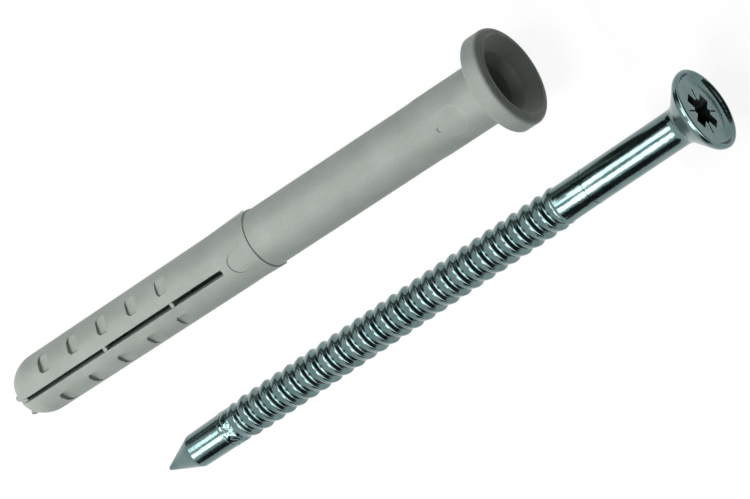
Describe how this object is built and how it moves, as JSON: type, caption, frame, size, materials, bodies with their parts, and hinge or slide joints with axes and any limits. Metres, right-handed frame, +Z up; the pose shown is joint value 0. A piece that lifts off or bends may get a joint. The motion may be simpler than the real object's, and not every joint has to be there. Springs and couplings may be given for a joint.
{
  "type": "nail plug",
  "caption": "Slotted plastic wall plug sleeve with a round collar, lying beside its threaded nail screw with a countersunk head and cross recess.",
  "frame": {"origin": "centre of the pair's bounding box, on the floor it lies on", "axes": "+X along the sleeve from its tip to its collar, +Z up, the nail screw on the -Y side"},
  "size_m": [0.0978, 0.0264, 0.0125],
  "materials": {
    "grey_nylon": "moulded, satin",
    "zinc_steel": "bright zinc plate"
  },
  "bodies": {
    "root": {"plug_sleeve": "grey_nylon", "nail_screw": "zinc_steel"}
  },
  "joints": []
}
